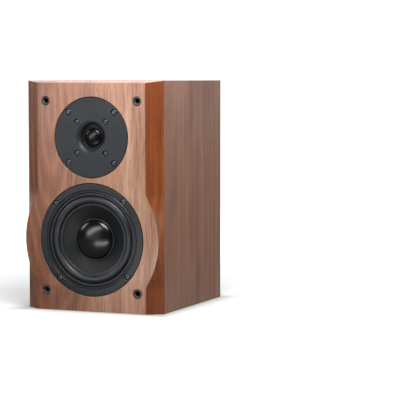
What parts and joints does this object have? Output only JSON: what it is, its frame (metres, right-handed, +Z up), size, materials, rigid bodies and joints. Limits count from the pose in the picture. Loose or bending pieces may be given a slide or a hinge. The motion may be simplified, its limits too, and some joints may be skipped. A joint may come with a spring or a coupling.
{
  "type": "bookshelf speaker",
  "caption": "Passive bookshelf loudspeaker: walnut-look cabinet with chamfered front and rounded cheeks, dome tweeter, cone woofer, grille sockets, rear port and binding posts.",
  "frame": {"origin": "centre of the cabinet's footprint, on the plane it stands on", "axes": "+Z up, -Y the way the drivers face, +X to the viewer's right when facing the drivers"},
  "size_m": [0.194, 0.205, 0.298],
  "materials": {
    "walnut_vinyl": "satin walnut-pattern wrap with a fine vertical grain",
    "raw_board": "unfinished medium-density board",
    "white_wadding": "loose polyester wadding",
    "black_frame": "satin black paint",
    "black_plastic": "fine matt moulded black",
    "black_rubber": "matt black rubber",
    "grey_socket": "dull dark grey rubber",
    "black_cone": "coated black paper",
    "gloss_cap": "smooth gloss black",
    "silk_dome": "coated black silk",
    "zinc_steel": "zinc-plated steel",
    "ferrite": "dull dark grey ceramic magnet",
    "copper_wire": "enamelled copper winding",
    "spider_cloth": "resin-stiffened tan cloth",
    "black_screw": "black-oxide steel",
    "gilt_brass": "gilt brass",
    "red_cap": "gloss red",
    "black_cap": "gloss black",
    "board_green": "green circuit board",
    "film_sleeve": "yellow film sleeve",
    "cable_sleeve": "black cable sleeve"
  },
  "bodies": {
    "cabinet": {"front_baffle": "walnut_vinyl", "left_side_panel": "walnut_vinyl", "right_side_panel": "walnut_vinyl", "top_panel": "walnut_vinyl", "bottom_panel": "walnut_vinyl", "back_panel": "walnut_vinyl", "window_brace": "raw_board", "damping_wadding": "white_wadding", "woofer_basket": "black_frame", "tweeter_faceplate": "black_plastic", "port_tube": "black_plastic", "terminal_cup": "black_plastic", "woofer_gasket": "black_rubber", "woofer_surround": "black_rubber", "tweeter_surround": "black_rubber", "grille_socket_1": "grey_socket", "grille_socket_2": "grey_socket", "grille_socket_3": "grey_socket", "grille_socket_4": "grey_socket", "woofer_top_plate": "zinc_steel", "woofer_yoke": "zinc_steel", "tweeter_top_plate": "zinc_steel", "tweeter_yoke": "zinc_steel", "woofer_magnet": "ferrite", "tweeter_magnet": "ferrite", "inductor_woofer": "copper_wire", "inductor_tweeter": "copper_wire", "woofer_spider": "spider_cloth", "woofer_screw_1": "black_screw", "woofer_screw_2": "black_screw", "woofer_screw_3": "black_screw", "woofer_screw_4": "black_screw", "tweeter_screw_1": "black_screw", "tweeter_screw_2": "black_screw", "tweeter_screw_3": "black_screw", "tweeter_screw_4": "black_screw", "faceplate_screw_1": "black_screw", "faceplate_screw_2": "black_screw", "faceplate_screw_3": "black_screw", "faceplate_screw_4": "black_screw", "cup_screw_1": "black_screw", "cup_screw_2": "black_screw", "cup_screw_3": "black_screw", "cup_screw_4": "black_screw", "post_stud_red": "gilt_brass", "post_stud_black": "gilt_brass", "crossover_board": "board_green", "capacitor_tweeter": "film_sleeve", "capacitor_woofer": "film_sleeve", "woofer_lead": "cable_sleeve", "tweeter_lead": "cable_sleeve"},
    "woofer_cone_assembly": {"woofer_cone": "black_cone", "woofer_dust_cap": "gloss_cap", "woofer_voice_coil": "copper_wire"},
    "tweeter_dome_assembly": {"tweeter_dome": "silk_dome", "tweeter_voice_coil": "copper_wire"},
    "red_clamp": {"post_washer_red": "zinc_steel"},
    "red_cap": {"post_cap_red": "red_cap"},
    "black_clamp": {"post_washer_black": "zinc_steel"},
    "black_cap": {"post_cap_black": "black_cap"}
  },
  "joints": [
    {"name": "woofer_throw", "type": "slide", "parent": "cabinet", "child": "woofer_cone_assembly", "axis": [0, -1, 0], "range_m": [-0.004, 0.004], "stiffness_N_per_m": 1100, "deforming": ["woofer_surround", "woofer_spider"]},
    {"name": "tweeter_throw", "type": "slide", "parent": "cabinet", "child": "tweeter_dome_assembly", "axis": [0, -1, 0], "range_m": [-0.0004, 0.0004], "stiffness_N_per_m": 4000, "deforming": ["tweeter_surround"]},
    {"name": "red_clamp_slide", "type": "slide", "parent": "cabinet", "child": "red_clamp", "axis": [0, 1, 0], "range_m": [0, 0.005]},
    {"name": "red_cap_turn", "type": "hinge", "parent": "red_clamp", "child": "red_cap", "pos_m": [-0.0095, 0.0945, 0.088], "axis": [0, 1, 0], "range_deg": [0, 1800]},
    {"name": "black_clamp_slide", "type": "slide", "parent": "cabinet", "child": "black_clamp", "axis": [0, 1, 0], "range_m": [0, 0.005]},
    {"name": "black_cap_turn", "type": "hinge", "parent": "black_clamp", "child": "black_cap", "pos_m": [0.0095, 0.0945, 0.088], "axis": [0, 1, 0], "range_deg": [0, 1800]}
  ],
  "couplings": [
    {"joint": "red_cap_turn", "follows": "red_clamp_slide", "rad_per_m": 6283.2},
    {"joint": "black_cap_turn", "follows": "black_clamp_slide", "rad_per_m": 6283.2}
  ]
}
